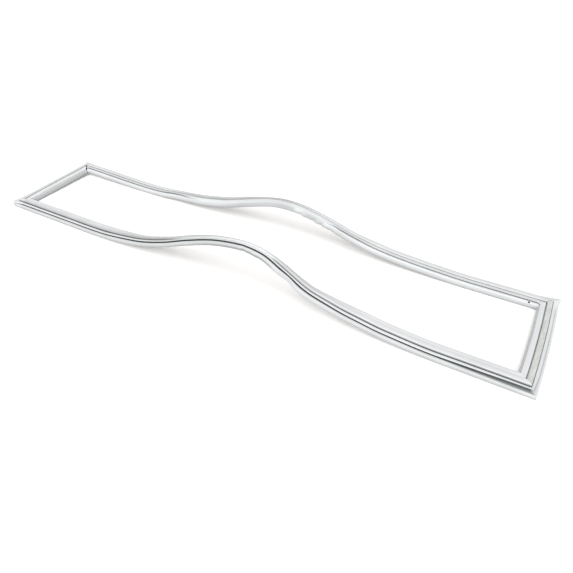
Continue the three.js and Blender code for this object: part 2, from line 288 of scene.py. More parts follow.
class GasketSizes(bpy.types.PropertyGroup):
    """Sizes of the frame and of its section."""

    frame_length: bpy.props.FloatProperty(
        name="Frame length", description="Outside length of the frame",
        default=1038 * MM, unit="LENGTH")
    frame_width: bpy.props.FloatProperty(
        name="Frame width", description="Outside width of the frame",
        default=205 * MM, unit="LENGTH")
    side_bow: bpy.props.FloatProperty(
        name="Side bow", description="How far the right short side bows outwards",
        default=2 * MM, unit="LENGTH")
    section_width: bpy.props.FloatProperty(
        name="Section width", description="Width of the extruded section",
        default=28 * MM, unit="LENGTH")
    outer_bulb: bpy.props.FloatProperty(
        name="Outer bulb", description="Height of the outer bulb",
        default=7.5 * MM, unit="LENGTH")
    inner_bulb: bpy.props.FloatProperty(
        name="Inner bulb", description="Height of the inner bulb",
        default=10 * MM, unit="LENGTH")
    pocket_top: bpy.props.FloatProperty(
        name="Pocket top", description="Height of the magnet pocket's face",
        default=14.5 * MM, unit="LENGTH")
    ripple: bpy.props.FloatProperty(
        name="Ripple", description="Depth of the soft waves in the lips",
        default=0.3 * MM, unit="LENGTH")
    weld_bead: bpy.props.FloatProperty(
        name="Weld bead", description="How far the weld bead stands proud at a mitre",
        default=0.25 * MM, unit="LENGTH")
    vent_diameter: bpy.props.FloatProperty(
        name="Vent diameter", description="Diameter of the vent hole",
        default=3 * MM, unit="LENGTH")


class GasketFinish(bpy.types.PropertyGroup):
    """Colours and gloss of the gasket."""

    lip_colour: bpy.props.FloatVectorProperty(
        name="Vinyl colour", description="Colour of the lips and bulbs",
        default=(0.775, 0.790, 0.800), subtype="COLOR", size=3, min=0, max=1)
    pocket_colour: bpy.props.FloatVectorProperty(
        name="Pocket colour", description="Colour of the thin vinyl over the magnet",
        default=(0.680, 0.675, 0.655), subtype="COLOR", size=3, min=0, max=1)
    # Painted shade: the near black that crevices, grooves, undersides, shaded faces and the
    # tube's hollow are darkened towards
    painted_shade_colour: bpy.props.FloatVectorProperty(
        name="Crevice colour", description="Colour of the dusty bottom of the grooves",
        default=(0.075, 0.082, 0.078), subtype="COLOR", size=3, min=0, max=1)
    magnet_colour: bpy.props.FloatVectorProperty(
        name="Magnet colour", description="Colour of the bonded magnet strip",
        default=(0.045, 0.035, 0.031), subtype="COLOR", size=3, min=0, max=1)
    vinyl_roughness: bpy.props.FloatProperty(
        name="Vinyl roughness", description="Roughness of the soft vinyl",
        default=0.42, min=0, max=1, subtype="FACTOR")


class StudioSettings(bpy.types.PropertyGroup):
    """Floor, lamps and camera."""

    key_strength: bpy.props.FloatProperty(
        name="Key strength", description="Strength of the wide light from above",
        default=2.8, min=0)
    key_spread: bpy.props.FloatProperty(
        name="Key spread", description="Apparent width of the light, which softens its shadow",
        default=math.radians(66), subtype="ANGLE")
    key_turn: bpy.props.FloatProperty(
        name="Key turn", description="How far the light stands round to the right of the front",
        default=math.radians(19), subtype="ANGLE")
    key_lean: bpy.props.FloatProperty(
        name="Key lean", description="How far the light stands to the front of straight above",
        default=math.radians(37), subtype="ANGLE")
    world_level: bpy.props.FloatProperty(
        name="World level", description="Strength of the even light all round",
        default=0.35, min=0)
    floor_colour: bpy.props.FloatVectorProperty(
        name="Floor colour", description="Colour of the plain floor",
        default=(0.50, 0.50, 0.49), subtype="COLOR", size=3, min=0, max=1)
    floor_glow: bpy.props.FloatProperty(
        name="Floor glow", description="How far the floor is lifted to white for the camera",
        default=0.17, min=0)
    camera_yaw: bpy.props.FloatProperty(
        name="Camera yaw", description="Turn of the camera from the far side to the left",
        default=math.radians(32.13), subtype="ANGLE")
    camera_pitch: bpy.props.FloatProperty(
        name="Camera pitch", description="How far the camera looks down",
        default=math.radians(39.03), subtype="ANGLE")
    camera_roll: bpy.props.FloatProperty(
        name="Camera roll", description="Lean of the camera about its own view",
        default=math.radians(2.15), subtype="ANGLE")
    focal_pixels: bpy.props.FloatProperty(
        name="Focal length", description="Focal length in pixels of the photograph",
        default=480.0, min=1)


def smooth_through(points, place):
    """Height and slope of a smooth line through points, level at both ends."""
    last = len(points) - 1
    if place <= points[0][0]:
        return points[0][1], 0.0
    if place >= points[last][0]:
        return points[last][1], 0.0
    following = next(i for i, point in enumerate(points) if point[0] > place)

    def tangent(i):
        if i in (0, last):
            return 0.0
        rise = points[i + 1][1] - points[i - 1][1]
        return rise / (points[i + 1][0] - points[i - 1][0])

    x0, y0 = points[following - 1]
    x1, y1 = points[following]
    span = x1 - x0
    t = (place - x0) / span
    m0 = tangent(following - 1) * span
    m1 = tangent(following) * span
    height = (2 * t**3 - 3 * t**2 + 1) * y0 + (t**3 - 2 * t**2 + t) * m0
    height += (3 * t**2 - 2 * t**3) * y1 + (t**3 - t**2) * m1
    rate = (6 * t**2 - 6 * t) * (y0 - y1) + (3 * t**2 - 4 * t + 1) * m0 + (3 * t**2 - 2 * t) * m1
    return height, rate / span


def outer_corners(sizes, state):
    """Corners of the outer bulb, its groove, the outer lip and the outer crevice, with their
    painted shade, which changes in the groove where the lip lifts off.
    """
    outer = sizes.outer_bulb / MM
    shut = state.get("shut", 0.0)
    lifted = state.get("lifted", 0.0)
    cast = state.get("cast", 0.0)
    rim = state.get("rim", 0.0)
    lip = 4.3 + LIP_BACK * lifted
    raised = LIP_RAISED * lifted
    sunk = GROOVE_SUNK * lifted
    back = BULB_BACK * lifted
    crevice = 1 - SHUT_SHADE_LOSS * shut
    fill = SHUT_FILL * shut
    return [
        (0, 0, 2.6, 7, state.get("outer_under", PLAIN_UNDERSIDE), 0),
        (0, outer - 0.5 * sunk, 3.2, 8, state.get("bulb_cast", 0.0), 0),
        (3.9 - back, outer - 0.05 - sunk, 0, 1, 0.15 + 0.15 * lifted + rim, 0),
        (4.8 - back, outer - 0.4 - sunk, 0, 1, 0.95 - 0.38 * lifted, 0),
        (6.6, outer - 0.5 - sunk, 0, 1, 1 - 0.2 * lifted, 0),
        (8.6, outer - 0.3 - sunk, 0.3, 2, 1 - 0.1 * lifted, 0),
        (8.6, outer + 1.9, 0.3, 2, 1, 0),
        (6.2 + lifted, outer + 2.0 + raised, 0, 1, 0.9, 0),
        (lip, outer + 2.0 + raised, 0.6, 4, 0.15 + rim, 0),
        (lip, outer + 3.6 + raised, 0.8, 4, 0.3 * shut * cast + 0.6 * rim, 0),
        (6.6 + 0.5 * lifted, outer + 3.75, 0, 1, 0, 0),
        (8.5, outer + 3.6, 0.3, 3, 0.1 * crevice, 0),
        (8.7, outer + 1.4 + fill, 0.2, 2, crevice, 0),
        (10.6, outer + 1.4 + fill, 0.2, 2, crevice, 0),
    ]


def pocket_corners(sizes, state):
    """Corners of the magnet pocket, which stands between the two crevices, with painted shade at
    its edges and over its face on the far hump.
    """
    top = sizes.pocket_top / MM
    cast = state.get("cast", 0.0)
    lip_cast = state.get("lip_cast", 0.0)
    crevice = 1 - SHUT_SHADE_LOSS * state.get("shut", 0.0)
    return [
        (9.6, top - 1.3, 0.5, 3, 0.4 * crevice + 0.25 * cast, 0.6),
        (10.3, top, 0.9, 4, 0.45 * cast + lip_cast, 1),
        (12.0, top + 0.05, 0, 1, 0.3 * cast + lip_cast, 1),
        (13.6, top + 0.08, 0, 1, 0.18 * cast + lip_cast, 1),
        (15.2, top + 0.05, 0, 1, 1.6 * lip_cast, 1),
        (16.9, top, 0.9, 4, 2.0 * lip_cast, 1),
        (17.2, top - 2.2, 0.4, 2, 0.7, 0.5),
    ]


def inner_corners(sizes, state):
    """Corners of the inner crevice, the inner lip, its groove, the inner bulb and the base, with
    their painted shade.
    """
    inner = sizes.inner_bulb / MM
    width = sizes.section_width / MM
    tip_out = TIP_OUT * state.get("drape", 0.0)
    tip_drop = TIP_DROP * state.get("drape", 0.0)
    fold = state.get("fold", 0.0)
    lip_cast = state.get("lip_cast", 0.0)
    return [
        (17.0, inner - 0.4, 0.3, 2, 1, 0),
        (18.3, inner - 0.4, 0.3, 2, 1, 0),
        (18.5, inner + 2.7, 0.4, 3, 0.1, 0),
        (20.5, inner + 2.8, 0, 1, 0.5 * lip_cast, 0),
        (23.0, inner + 2.75 - 0.25 * tip_drop, 0, 1, 0.5 * lip_cast, 0),
        (25.9 + tip_out, inner + 2.5 - tip_drop, 0.6, 4, 0.6 * fold, 0),
        (25.6 + tip_out, inner + 1.3 - tip_drop, 0.5, 3, 0.15, 0),
        (22.5, inner + 1.0 - 0.25 * tip_drop, 0, 1, 1, 0),
        (19.0, inner + 1.0, 0.3, 2, 1, 0),
        (19.0, inner + 0.1, 0.3, 2, 1, 0),
        (22.0, inner, 0, 1, 0.7, 0),
        (width, inner, 4.4, 9, fold, 0),
        (width, 0, 2.8, 7, state.get("inner_under", PLAIN_UNDERSIDE), 0),
        (19.0, 0, 0, 1, 0, 0),
        (9.5, 0, 0, 1, 0, 0),
    ]


def section_corners(sizes, state):
    """The section's drawing, from the outer edge over the top to the base.

    Each corner has its millimetres inwards of the outer edge and up from the base, its rounding,
    its number of points, and its share of painted shade, in crevices, grooves and shaded faces,
    and of pocket face.
    """
    return [
        *outer_corners(sizes, state),
        *pocket_corners(sizes, state),
        *inner_corners(sizes, state),
    ]


def section_outline(sizes, state):
    """Points of the section as (v, z, crevice shade, pocket face)."""
    corners = section_corners(sizes, state)
    outline = []
    for i, (v, z, rounding, count, shade, pocket) in enumerate(corners):
        if count == 1:
            outline.append((v, z, shade, pocket))
            continue
        corner = Vector((v, z))
        before = Vector(corners[i - 1][:2]) - corner
        after = Vector(corners[(i + 1) % len(corners)][:2]) - corner
        start = corner + before.normalized() * min(rounding, MOST_ROUNDING * before.length)
        end = corner + after.normalized() * min(rounding, MOST_ROUNDING * after.length)
        for step in range(count):
            t = step / (count - 1)
            point = start * (1 - t) ** 2 + corner * (2 * t * (1 - t)) + end * t**2
            outline.append((point.x, point.y, shade, pocket))
    return outline


def near_lie(sizes, x):
    """How the near side stands and is shaded at a place along it."""
    middle = sizes.frame_length / MM / 2
    place = x - middle - NEAR_CREST_PAST_MIDDLE
    height, slope = smooth_through(NEAR_HUMP, place)
    from_end = sizes.frame_length / MM - x
    return {
        "height": height,
        "slope": slope,
        "roll": smooth_through(NEAR_ROLL, place)[0],
        "shut": smooth_through(NEAR_SHUT, place)[0],
        "lifted": smooth_through(GROOVE_OPENING, from_end)[0],
        "cast": smooth_through(NEAR_CAST, x)[0],
        "outer_under": smooth_through(NEAR_UNDERSIDE, x)[0],
        "bulb_cast": smooth_through(NEAR_BULB_CAST, place)[0],
    }


def far_lie(sizes, x):
    """How the far side stands and is shaded at a place along it.

    All painted shade is laid on times the side's shade share, so the painted shade of the
    underside, the fold and the lip is divided by it first.
    """
    middle = sizes.frame_length / MM / 2
    place = x - middle - FAR_CREST_PAST_MIDDLE
    height, slope = smooth_through(FAR_HUMP, place)
    lift, lift_slope = smooth_through([(0, CORNER_LIFT), (CORNER_LIFT_RUN, 0)], x)
    shade_share = smooth_through(FAR_SHADE, x)[0]
    return {
        "height": height + lift,
        "slope": slope + lift_slope,
        "roll": smooth_through(FAR_ROLL, place)[0],
        "drape": FAR_CURL + smooth_through(FAR_DRAPE, place)[0],
        "shade_share": shade_share,
        "inner_under": FAR_UNDERSIDE / shade_share,
        "fold": smooth_through(FAR_FOLD, place)[0] / shade_share,
        "lip_cast": FAR_LIP_CAST * smooth_through(FAR_CAST, place)[0] / shade_share,
    }


def level_lie(height, **state):
    """How a side stands that neither climbs nor rolls."""
    return {"height": height, "slope": 0.0, "roll": 0.0, **state}


def eased(share):
    """A share held between nought and one, with soft ends."""
    share = min(1.0, max(0.0, share))
    return share * share * (3 - 2 * share)


def spread(start, end, count):
    """Evenly spaced places from start to end."""
    return [start + (end - start) * i / (count - 1) for i in range(count)]


def long_places(corner_x, end_reach):
    """Places of the stations along a long side, close together where it buckles."""
    thin = LONG_STATIONS - DENSE_STATIONS
    left_share = round(thin * (DENSE_START - end_reach) / (DENSE_START + corner_x - DENSE_END))
    return [
        *spread(end_reach, DENSE_START, left_share + 1)[:-1],
        *spread(DENSE_START, DENSE_END, DENSE_STATIONS),
        *spread(DENSE_END, corner_x - end_reach, thin - left_share + 1)[1:],
    ]


def weld(plan, lie, before, after, middle):
    """Three stations across a mitre, the middle one with the bead."""
    return [
        {"plan": plan(-BEAD_HALF), "lie": lie, "bead": 0.0, "side": before, "at": 0.0},
        {"plan": plan(0.0), "lie": lie, "bead": 1.0, "side": middle, "at": 0.0},
        {"plan": plan(BEAD_HALF), "lie": lie, "bead": 0.0, "side": after, "at": 0.0},
    ]


def ring_stations(sizes):
    """Cuts through the frame, in order round it: where each lies in plan and how it stands."""
    width = sizes.frame_width / MM
    bow = sizes.side_bow / MM
    corner_x = sizes.frame_length / MM - bow
    end_reach = sizes.section_width / MM + END_CLEAR

    def bow_at(y):
        share = y / width
        return 4 * bow * share * (1 - share)

    def near_left(w):
        return lambda v: (v + max(w, 0), v + max(-w, 0))

    def near_right(w):
        return lambda v: (corner_x - v + bow_at(v) - max(-w, 0), v + max(w, 0))

    def far_right(w):
        return lambda v: (corner_x - v + bow_at(v) - max(w, 0), width - v - max(-w, 0))

    def far_left(w):
        return lambda v: (v + max(-w, 0), width - v - max(w, 0))

    places = long_places(corner_x, end_reach)
    short_places = spread(end_reach, width - end_reach, SHORT_STATIONS)
    near = [
        {"plan": lambda v, x=x: (x, v), "lie": near_lie(sizes, x), "side": "near", "at": x}
        for x in places
    ]
    right = [
        {"plan": lambda v, y=y: (corner_x - v + bow_at(y), y),
         "lie": level_lie(0.0, rim=RIGHT_RIM), "side": "right", "at": y}
        for y in short_places
    ]
    far = [
        {"plan": lambda v, x=x: (x, width - v), "lie": far_lie(sizes, x), "side": "far", "at": x}
        for x in reversed(places)
    ]
    left = [
        {"plan": lambda v, y=y: (v, y),
         "lie": level_lie(CORNER_LIFT * y / width, drape=LEFT_DRAPE), "side": "left", "at": y}
        for y in reversed(short_places)
    ]
    return [
        *weld(near_left, level_lie(0.0), "left", "near", "near"), *near,
        *weld(near_right, level_lie(0.0, lifted=1.0), "near", "right", "near"), *right,
        *weld(far_right, level_lie(0.0), "right", "far", "far"), *far,
        *weld(far_left, level_lie(CORNER_LIFT), "far", "left", "far"), *left,
    ]


def corner_flare(sizes, x, y):
    """How far the lip's tip stands out past the nearest corner at a place in plan."""
    length = sizes.frame_length / MM
    width = sizes.frame_width / MM
    flares = [(0, 0, NEAR_LEFT_TIP), (length, width, FAR_RIGHT_TIP), (0, width, FAR_LEFT_TIP)]
    reach = 0.0
    for corner_x, corner_y, far_out in flares:
        distance = math.hypot(x - corner_x, y - corner_y)
        reach = max(reach, far_out * eased(1 - distance / TIP_RUN))
    return reach


def soft_wave(run, across, wave):
    """A slow, uneven wave about nought."""
    length, width, seed = wave
    return noise.noise(Vector((run / length, across / width, seed)))


def crinkle(sizes, station):
    """Share of the fine wrinkles in the skin over the magnet, strongest in the right side."""
    if station["side"] != "right":
        return PLAIN_CRINKLE
    share = station["at"] / (sizes.frame_width / MM)
    gathered = eased(1 - abs(share - GATHER_MIDDLE) / GATHER_HALF)
    return RIGHT_CRINKLE + GATHERED_CRINKLE * gathered


def place_point(sizes, station, run, point):
    """A section point at a station, in metres in the frame's own place."""
    v, z, shade, pocket = point
    lie = station["lie"]
    mid_v = sizes.section_width / MM / 2
    ripple = sizes.ripple / MM
    plan = station["plan"]
    x0, y0 = plan(0.0)
    on_lip = eased((z - LIP_WAVE_FROM) / LIP_WAVE_RISE) * (1 - pocket) * (1 - shade)
    z += ripple * on_lip * soft_wave(run, v, LIP_WAVE)
    z += ripple * pocket * crinkle(sizes, station) * soft_wave(run, v, POCKET_WAVE)
    v += EDGE_WAVE_SHARE * ripple * (1 - pocket) * soft_wave(run, z, EDGE_WAVE)
    if TIP_EDGE < v < TIP_ROOT and TIP_LOW < z < TIP_HIGH:
        v -= corner_flare(sizes, x0, y0) * ((TIP_ROOT - v) / TIP_LENGTH)
    if z > BEAD_FROM_HEIGHT:
        z += station.get("bead", 0.0) * sizes.weld_bead / MM * (1 - shade)
    x, flat_y = plan(v)
    mid_y = plan(mid_v)[1]
    angle = math.radians(lie["roll"])
    y = mid_y + (flat_y - mid_y) * math.cos(angle) + z * math.sin(angle)
    up = z * math.cos(angle) - (flat_y - mid_y) * math.sin(angle)
    reach = math.hypot(1, lie["slope"])
    x -= up * lie["slope"] / reach
    height = lie["height"] + up / reach
    place = Vector((x, y, max(0.0, height)))
    offset = Vector((sizes.frame_length / 2, sizes.frame_width / 2, 0))
    return place * MM - offset


def deselect_all():
    """Leaves edit mode and selects nothing."""
    if bpy.context.mode != "OBJECT":
        bpy.ops.object.mode_set(mode="OBJECT")
    bpy.ops.object.select_all(action="DESELECT")


def make_active(piece):
    """Selects one piece and no other."""
    deselect_all()
    piece.select_set(True)
    bpy.context.view_layer.objects.active = piece


def apply_place(piece):
    """Puts a piece's place, turn and scale into its mesh."""
    make_active(piece)
    bpy.ops.object.transform_apply(location=True, rotation=True, scale=True)


def turn_first_point(piece):
    """Turns the tube so that one of its corners lies on the X axis."""
    first = min(
        piece.data.vertices,
        key=lambda vertex: abs(vertex.co.x) + abs(vertex.co.y - TUBE_RADIUS))
    angle = math.atan2(first.co.y, first.co.x)
    piece.data.transform(Matrix.Rotation(-angle, 4, "Z"))


def subdivide_lengthwise(piece, cuts):
    """Cuts every edge that runs along the tube, as many times as asked."""
    make_active(piece)
    bpy.ops.object.mode_set(mode="EDIT")
    bpy.ops.mesh.select_mode(type="EDGE")
    bpy.ops.mesh.select_all(action="DESELECT")
    bpy.ops.object.mode_set(mode="OBJECT")
    heights = [vertex.co.z for vertex in piece.data.vertices]
    for edge in piece.data.edges:
        a, b = edge.vertices
        edge.select = abs(heights[a] - heights[b]) > TOUCHING
    bpy.ops.object.mode_set(mode="EDIT")
    bpy.ops.mesh.subdivide(number_cuts=cuts)
    bpy.ops.object.mode_set(mode="OBJECT")


def runs_along(stations):
    """Millimetres along the frame's outer edge up to each station and back to the first."""
    runs = [0.0]
    for i in range(1, len(stations) + 1):
        ax, ay = stations[i - 1]["plan"](0.0)
        bx, by = stations[i % len(stations)]["plan"](0.0)
        runs.append(runs[-1] + math.hypot(bx - ax, by - ay))
    return runs


def girth_round(outline):
    """Millimetres round the section up to each point and back to the first."""
    girth = [0.0]
    for i in range(len(outline)):
        step = Vector(outline[(i + 1) % len(outline)][:2]) - Vector(outline[i][:2])
        girth.append(girth[-1] + step.length)
    return girth


def tube_places(mesh, levels, around):
    """Station and section point that each vertex of the plain tube stands for."""
    where = []
    for vertex in mesh.vertices:
        level = round((vertex.co.z / TUBE_LENGTH + 0.5) * levels)
        turn = math.atan2(vertex.co.y, vertex.co.x) / (2 * math.pi)
        where.append((level, round(turn * around) % around))
    return where


def lay_map(mesh, where, runs, girth):
    """Makes the UV map metres along the frame by metres round the section."""
    around = len(girth) - 1
    layer = mesh.uv_layers.active or mesh.uv_layers.new(name="profile")
    layer.name = "profile"
    for polygon in mesh.polygons:
        indices = [where[mesh.loops[loop].vertex_index][1] for loop in polygon.loop_indices]
        wraps = max(indices) - min(indices) > around / 2
        for loop, index in zip(polygon.loop_indices, indices):
            level = where[mesh.loops[loop].vertex_index][0]
            turned = index + around if wraps and index < around / 2 else index
            layer.data[loop].uv = (runs[level] * MM, girth[turned] * MM)


def lay_strip(sizes, piece, around):
    """Lays a plain open tube along the frame as the section swept round it."""
    stations = ring_stations(sizes)
    levels = (FIRST_CUTS + 1) * (SECOND_CUTS + 1)
    if len(stations) != levels:
        raise RuntimeError(f"the ring has {len(stations)} stations and the tube {levels} spans")
    runs = runs_along(stations)
    outlines = [section_outline(sizes, station["lie"]) for station in stations]
    rows = [
        [place_point(sizes, station, run, point) for point in outline]
        for station, run, outline in zip(stations, runs, outlines)
    ]
    mesh = piece.data
    shade = mesh.attributes.new("crevice_shade", "FLOAT", "POINT")
    pocket = mesh.attributes.new("pocket_face", "FLOAT", "POINT")
    where = tube_places(mesh, levels, around)
    for vertex, (level, index) in zip(mesh.vertices, where):
        turn = level % levels
        side = stations[turn]["side"]
        vertex.co = rows[turn][index]
        # Painted shade of each point: its corner's share times the side's shade share
        shade_share = stations[turn]["lie"].get("shade_share", SIDE_SHADE[side])
        shade.data[vertex.index].value = outlines[turn][index][2] * shade_share
        pocket.data[vertex.index].value = outlines[turn][index][3] * SIDE_BROWN[side]
    lay_map(mesh, where, runs, girth_round(section_outline(sizes, {})))


def close_skin(piece):
    """Merges the strip's two ends and turns every face outwards."""
    make_active(piece)
    bpy.ops.object.mode_set(mode="EDIT")
    bpy.ops.mesh.select_all(action="SELECT")
    bpy.ops.mesh.remove_doubles(threshold=TOUCHING)
    bpy.ops.mesh.normals_make_consistent(inside=False)
    bpy.ops.object.mode_set(mode="OBJECT")


def cut_away(piece, cutter):
    """Takes a cutter's shape out of a piece, and leaves the hollow's painted shade material on
    the cut.
    """
    for material in piece.data.materials:
        cutter.data.materials.append(material)
    for polygon in cutter.data.polygons:
        polygon.material_index = HOLLOW_SLOT
    make_active(piece)
    modifier = piece.modifiers.new("cut", "BOOLEAN")
    modifier.operation = "DIFFERENCE"
    modifier.solver = "EXACT"
    modifier.object = cutter
    bpy.ops.object.modifier_apply(modifier="cut")
    bpy.data.objects.remove(cutter)


def vent_cutter(sizes):
    """A short round bore for the vent, in the shoulder of the far side's inner bulb."""
    x = sizes.frame_length / 2 - VENT_FROM_END * MM
    y = sizes.frame_width / 2 - VENT_INWARDS * MM
    deselect_all()
    bpy.ops.mesh.primitive_cylinder_add(
        vertices=VENT_SIDES, radius=sizes.vent_diameter / 2, depth=VENT_BORE * MM,
        location=(x, y, VENT_HEIGHT * MM), rotation=(VENT_LEAN, 0, 0))
    cutter = bpy.context.object
    apply_place(cutter)
    return cutter


def weld_slot_cutter(sizes, inwards, long, deep, height):
    """A thin slot along the far left mitre, where the weld has opened."""
    x = -sizes.frame_length / 2 + inwards * MM
    y = sizes.frame_width / 2 - inwards * MM
    deselect_all()
    bpy.ops.mesh.primitive_cube_add(size=1, location=(x, y, height * MM))
    cutter = bpy.context.object
    cutter.scale = (long * MM, WELD_SLOT_WIDTH * MM, deep * MM)
    cutter.rotation_euler = (0, 0, WELD_SLOT_TURN)
    apply_place(cutter)
    return cutter


def buckle(piece, buckles, crest, face):
    """Presses slanting buckles into a raised bulb whose face stands at a place across."""
    reach = BUCKLE_REACH * MM
    back = BUCKLE_BACK * MM
    lowest = BUCKLE_LOWEST * MM
    for vertex in piece.data.vertices:
        place = vertex.co
        depth = place.y - face
        if not 0 <= depth + back < reach + back or place.z < lowest:
            continue
        front = eased((reach - depth) / reach)
        for past_crest, half, push, slant in buckles:
            middle = crest + past_crest * MM + slant * (place.z - lowest)
            share = eased(1 - abs(place.x - middle) / (half * MM))
            place.y += push * MM * share * front


def new_material(name):
    """A material with only a principled shader and its output."""
    material = bpy.data.materials.new(name)
    material.use_nodes = True
    nodes = material.node_tree.nodes
    nodes.clear()
    shader = nodes.new("ShaderNodeBsdfPrincipled")
    output = nodes.new("ShaderNodeOutputMaterial")
    material.node_tree.links.new(shader.outputs["BSDF"], output.inputs["Surface"])
    return material, shader


def mix_colour(tree, factor, first, second, blend="MIX"):
    """A colour mix node. Each of factor, first and second is a socket or a plain value."""
    node = tree.nodes.new("ShaderNodeMix")
    node.data_type = "RGBA"
    node.blend_type = blend
    for index, value in zip((MIX_FACTOR, *MIX_COLOURS), (factor, first, second)):
        if isinstance(value, bpy.types.NodeSocket):
            tree.links.new(value, node.inputs[index])
        elif index == MIX_FACTOR:
            node.inputs[index].default_value = value
        else:
            node.inputs[index].default_value = (*value, 1.0)
    return node.outputs[MIXED_COLOUR]


def ranged(tree, value, read, given):
    """A value moved from the range it is read over to the one it is given out in."""
    node = tree.nodes.new("ShaderNodeMapRange")
    node.inputs["From Min"].default_value = read[0]
    node.inputs["From Max"].default_value = read[1]
    node.inputs["To Min"].default_value = given[0]
    node.inputs["To Max"].default_value = given[1]
    tree.links.new(value, node.inputs["Value"])
    return node.outputs["Result"]


def add_noise(tree, vector, scale=1.0, detail=2.0, distortion=0.0):
    """A noise texture on a vector."""
    node = tree.nodes.new("ShaderNodeTexNoise")
    node.inputs["Scale"].default_value = scale
    node.inputs["Detail"].default_value = detail
    node.inputs["Distortion"].default_value = distortion
    tree.links.new(vector, node.inputs["Vector"])
    return node


def add_mapping(tree, vector, scale, turn=0.0):
    """A vector stretched, and turned about its Z axis."""
    node = tree.nodes.new("ShaderNodeMapping")
    node.inputs["Rotation"].default_value = (0.0, 0.0, turn)
    node.inputs["Scale"].default_value = scale
    tree.links.new(vector, node.inputs["Vector"])
    return node.outputs["Vector"]


def add_product(tree, first, second):
    """The product of two values."""
    node = tree.nodes.new("ShaderNodeMath")
    node.operation = "MULTIPLY"
    tree.links.new(first, node.inputs[0])
    tree.links.new(second, node.inputs[1])
    return node.outputs["Value"]


def add_attribute(tree, name):
    """The value that each point of the skin carries under a name."""
    node = tree.nodes.new("ShaderNodeAttribute")
    node.attribute_name = name
    return node.outputs["Fac"]


def add_bump(tree, height, bump, below=None):
    """A bump from a height, laid over another normal where one is given."""
    node = tree.nodes.new("ShaderNodeBump")
    strength, distance = bump
    node.inputs["Strength"].default_value = strength
    node.inputs["Distance"].default_value = distance
    tree.links.new(height, node.inputs["Height"])
    if below is not None:
        tree.links.new(below, node.inputs["Normal"])
    return node.outputs["Normal"]


def shared_grain():
    """Fine grain and slow mottle that both the vinyl and the magnet show."""
    group = bpy.data.node_groups.new("extruded_grain", "ShaderNodeTree")
    face = group.interface
    face.new_socket(name="Vector", in_out="INPUT", socket_type="NodeSocketVector")
    face.new_socket(name="Grain scale", in_out="INPUT", socket_type="NodeSocketFloat")
    face.new_socket(name="Height", in_out="OUTPUT", socket_type="NodeSocketFloat")
    face.new_socket(name="Mottle", in_out="OUTPUT", socket_type="NodeSocketFloat")
    start = group.nodes.new("NodeGroupInput")
    end = group.nodes.new("NodeGroupOutput")
    fine = add_noise(group, start.outputs["Vector"], detail=3.0)
    slow = add_noise(group, start.outputs["Vector"], scale=SLOW_MOTTLE, detail=4.0)
    group.links.new(start.outputs["Grain scale"], fine.inputs["Scale"])
    group.links.new(fine.outputs["Fac"], end.inputs["Height"])
    group.links.new(slow.outputs["Fac"], end.inputs["Mottle"])
    return group


def place_grain(tree, grain, vector, scale):
    """The shared grain in a material, at the material's own scale."""
    node = tree.nodes.new("ShaderNodeGroup")
    node.node_tree = grain
    node.inputs["Grain scale"].default_value = scale
    tree.links.new(vector, node.inputs["Vector"])
    return node.outputs["Height"], node.outputs["Mottle"]


def vinyl_material(finish, grain):
    """Soft satin vinyl: cool pale grey, browner over the magnet, with painted shade in the
    crevices and grooves, under the bulbs and on shaded faces.
    """
    material, shader = new_material("soft_vinyl")
    tree = material.node_tree
    links = tree.links
    place = tree.nodes.new("ShaderNodeTexCoord")
    height, mottle = place_grain(tree, grain, place.outputs["Object"], VINYL_GRAIN)
    pocket = add_attribute(tree, "pocket_face")
    shade = add_attribute(tree, "crevice_shade")
    drawn_along = add_mapping(tree, place.outputs["UV"], STREAK_SCALE)
    streak = add_noise(tree, drawn_along).outputs["Fac"]
    aslant = add_mapping(tree, place.outputs["UV"], WRINKLE_SCALE, WRINKLE_TURN)
    wrinkle = add_noise(tree, aslant, distortion=WRINKLE_DISTORTION).outputs["Fac"]

    patchy = add_product(tree, pocket, ranged(tree, wrinkle, PATTERN_READ, BROWN_GIVEN))
    base = mix_colour(tree, patchy, finish.lip_colour, finish.pocket_colour)
    # Painted shade: the crevice_shade attribute darkens the colour towards the painted shade
    # colour
    shadowed = ranged(tree, shade, SHADE_READ, SHADE_GIVEN)
    with_painted_shade = mix_colour(tree, shadowed, base, finish.painted_shade_colour)
    tone = ranged(tree, mottle, PATTERN_READ, TONE_GIVEN)
    toned = mix_colour(tree, 1.0, with_painted_shade, tone, "MULTIPLY")
    links.new(toned, shader.inputs["Base Color"])

    roughness = tuple(finish.vinyl_roughness + change for change in GLOSS_SPREAD)
    links.new(ranged(tree, mottle, GLOSS_READ, roughness), shader.inputs["Roughness"])
    shader.inputs["Specular IOR Level"].default_value = VINYL_SPECULAR

    fine = add_bump(tree, height, GRAIN_BUMP)
    drawn = add_bump(tree, streak, STREAK_BUMP, below=fine)
    crinkled = add_product(tree, wrinkle, pocket)
    wrinkled = add_bump(tree, crinkled, WRINKLE_BUMP, below=drawn)
    links.new(wrinkled, shader.inputs["Normal"])
    return material


def hollow_material(finish):
    """Painted shade: a near black for the cut faces of the vent and the opened weld, standing in
    for the unlit inside of the tube.
    """
    material, shader = new_material("tube_hollow_painted_shade")
    tree = material.node_tree
    place = tree.nodes.new("ShaderNodeTexCoord")
    mottle = add_noise(tree, place.outputs["Object"], scale=HOLLOW_GRAIN).outputs["Fac"]
    darkest = tuple(channel * HOLLOW_DARKEST for channel in finish.painted_shade_colour)
    dark = tuple(channel * HOLLOW_DARK for channel in finish.painted_shade_colour)
    colour = mix_colour(tree, mottle, darkest, dark)
    tree.links.new(colour, shader.inputs["Base Color"])
    shader.inputs["Roughness"].default_value = HOLLOW_ROUGHNESS
    shader.inputs["Specular IOR Level"].default_value = HOLLOW_SPECULAR
    return material


